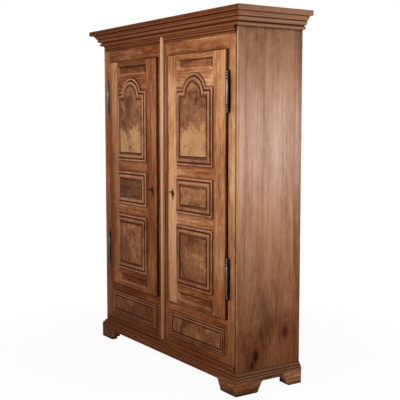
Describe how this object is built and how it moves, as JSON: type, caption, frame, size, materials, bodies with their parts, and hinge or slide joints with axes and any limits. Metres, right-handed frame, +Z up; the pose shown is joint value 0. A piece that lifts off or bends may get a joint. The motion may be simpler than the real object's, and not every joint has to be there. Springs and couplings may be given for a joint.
{
  "type": "panelled cabinet",
  "caption": "Tall walnut cabinet with hinged panelled doors, arched upper panels, mitred mouldings, deep cornice, long iron hinges, key locks, inner shelves and bracket feet.",
  "frame": {"origin": "on the floor, under the middle of the whole cabinet", "axes": "+Z up, front and doors towards -Y, +X to the viewer's right when facing the front"},
  "size_m": [1.588, 0.472, 1.95],
  "materials": {
    "walnut": "waxed satin",
    "panel_walnut": "waxed satin, figured",
    "moulding_walnut": "waxed satin",
    "side_walnut": "waxed satin",
    "inner_wood": "plain planed boards",
    "iron": "dark, hand worn"
  },
  "bodies": {
    "carcass": {"front_right_foot": "walnut", "front_left_foot": "walnut", "back_right_foot": "walnut", "back_left_foot": "walnut", "front_base_moulding": "moulding_walnut", "right_base_moulding": "moulding_walnut", "left_base_moulding": "moulding_walnut", "base_bead": "moulding_walnut", "front_right_post": "walnut", "front_left_post": "walnut", "back_right_post": "walnut", "back_left_post": "walnut", "centre_post": "walnut", "centre_strip": "moulding_walnut", "frieze_rails": "walnut", "frieze_moulding": "moulding_walnut", "lower_rails": "walnut", "lower_stiles": "walnut", "lower_panels": "panel_walnut", "lower_mouldings": "moulding_walnut", "right_side_boards": "side_walnut", "left_side_boards": "side_walnut", "back_boards": "inner_wood", "top_boards": "inner_wood", "floor_board": "inner_wood", "lower_shelf": "inner_wood", "upper_shelf": "inner_wood", "shelf_cleats": "inner_wood", "hinge_pins": "iron", "front_cornice": "moulding_walnut", "right_cornice": "moulding_walnut", "left_cornice": "moulding_walnut"},
    "left_door": {"left_door_hinge_stile": "walnut", "left_door_lock_stile": "walnut", "left_door_rails": "walnut", "left_door_arched_panel": "panel_walnut", "left_door_middle_panel": "panel_walnut", "left_door_lower_panel": "panel_walnut", "left_door_mouldings": "moulding_walnut", "left_hinge_barrels": "iron", "left_lock_case": "iron", "left_escutcheon": "iron"},
    "left_key": {"left_key": "iron"},
    "left_bolt": {"left_bolt": "iron"},
    "right_door": {"right_door_hinge_stile": "walnut", "right_door_lock_stile": "walnut", "right_door_rails": "walnut", "right_door_arched_panel": "panel_walnut", "right_door_middle_panel": "panel_walnut", "right_door_lower_panel": "panel_walnut", "right_door_mouldings": "moulding_walnut", "right_hinge_barrels": "iron", "right_lock_case": "iron", "right_escutcheon": "iron"},
    "right_key": {"right_key": "iron"},
    "right_bolt": {"right_bolt": "iron"}
  },
  "joints": [
    {"name": "left_door_swing", "type": "hinge", "parent": "carcass", "child": "left_door", "pos_m": [-0.64, -0.186, 1], "axis": [0, 0, -1], "range_deg": [0, 170]},
    {"name": "left_key_turn", "type": "hinge", "parent": "left_door", "child": "left_key", "pos_m": [-0.101, -0.2, 0.98806], "axis": [0, 1, 0], "range_deg": [0, 180]},
    {"name": "left_bolt_slide", "type": "slide", "parent": "left_door", "child": "left_bolt", "axis": [1, 0, 0], "range_m": [0, 0.016]},
    {"name": "right_door_swing", "type": "hinge", "parent": "carcass", "child": "right_door", "pos_m": [0.64, -0.186, 1], "axis": [0, 0, 1], "range_deg": [0, 170]},
    {"name": "right_key_turn", "type": "hinge", "parent": "right_door", "child": "right_key", "pos_m": [0.123, -0.2, 0.98806], "axis": [0, -1, 0], "range_deg": [0, 180]},
    {"name": "right_bolt_slide", "type": "slide", "parent": "right_door", "child": "right_bolt", "axis": [-1, 0, 0], "range_m": [0, 0.016]}
  ],
  "couplings": [
    {"joint": "left_bolt_slide", "follows": "left_key_turn", "m_per_rad": 0.005093},
    {"joint": "right_bolt_slide", "follows": "right_key_turn", "m_per_rad": 0.005093}
  ]
}
